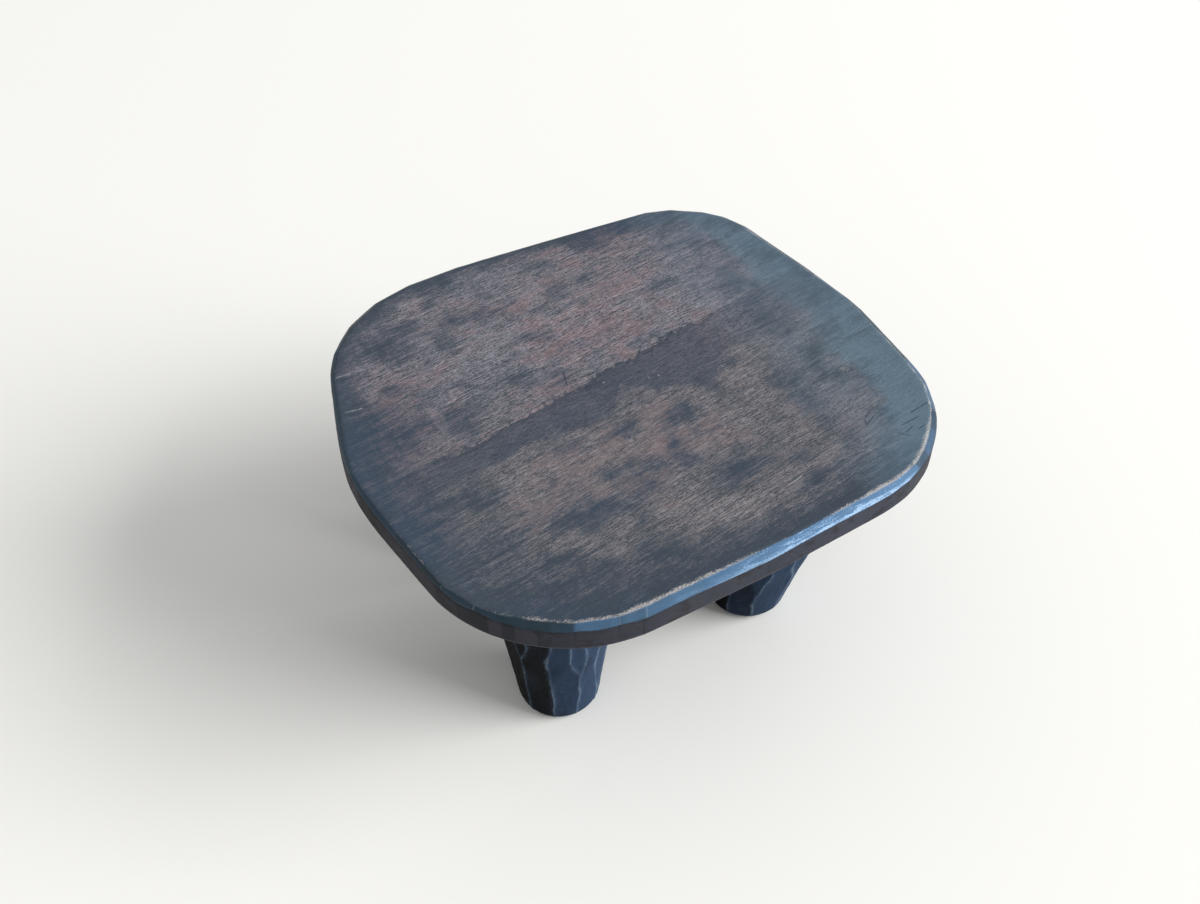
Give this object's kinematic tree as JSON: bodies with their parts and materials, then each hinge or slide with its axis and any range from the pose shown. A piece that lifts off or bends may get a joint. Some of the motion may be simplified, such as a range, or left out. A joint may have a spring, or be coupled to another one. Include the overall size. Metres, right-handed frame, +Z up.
{
  "type": "stool",
  "caption": "Low carved wooden stool: a thick rounded-square seat with a knife-cut bevel on hewn legs that widen upward into blind mortises.",
  "frame": {"origin": "on the floor, under the middle of the seat's box", "axes": "+Z up through the seat, +X along the seat's longer side and its grain, +Y across the grain towards the back legs"},
  "size_m": [0.476, 0.432, 0.24],
  "materials": {
    "seat_wood": "dark blue-grey stain, satin, worn through to brown wood in patches",
    "leg_wood": "dark blue-black stain, satin, with lighter worn ridges"
  },
  "bodies": {
    "root": {"seat": "seat_wood", "leg_front_left": "leg_wood", "leg_front_right": "leg_wood", "leg_back_left": "leg_wood", "leg_back_right": "leg_wood"}
  },
  "joints": []
}
